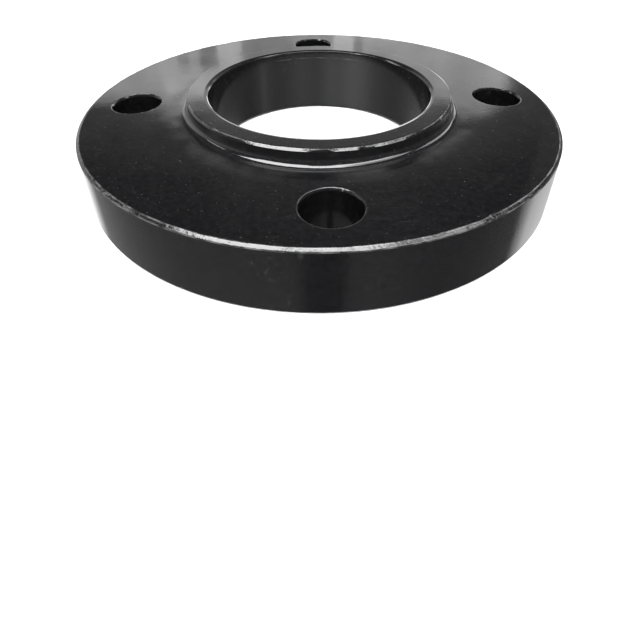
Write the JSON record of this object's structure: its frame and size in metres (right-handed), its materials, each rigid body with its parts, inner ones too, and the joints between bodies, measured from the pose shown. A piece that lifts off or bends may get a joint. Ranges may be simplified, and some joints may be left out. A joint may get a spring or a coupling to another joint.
{
  "type": "slip on flange",
  "caption": "Round steel slip-on pipe flange with a low hub, a flat sealing face, bolt holes on a circle and a bevelled bore that slides over a pipe and is welded to it.",
  "frame": {"origin": "centre of the bore on the flat sealing face", "axes": "+Z along the bore, from the sealing face towards the hub end; +X through the centre of a bolt hole"},
  "size_m": [0.1906, 0.1906, 0.0302],
  "materials": {
    "black_lacquer": "gloss black lacquer over turned forged steel"
  },
  "bodies": {
    "root": {"flange": "black_lacquer"}
  },
  "joints": []
}
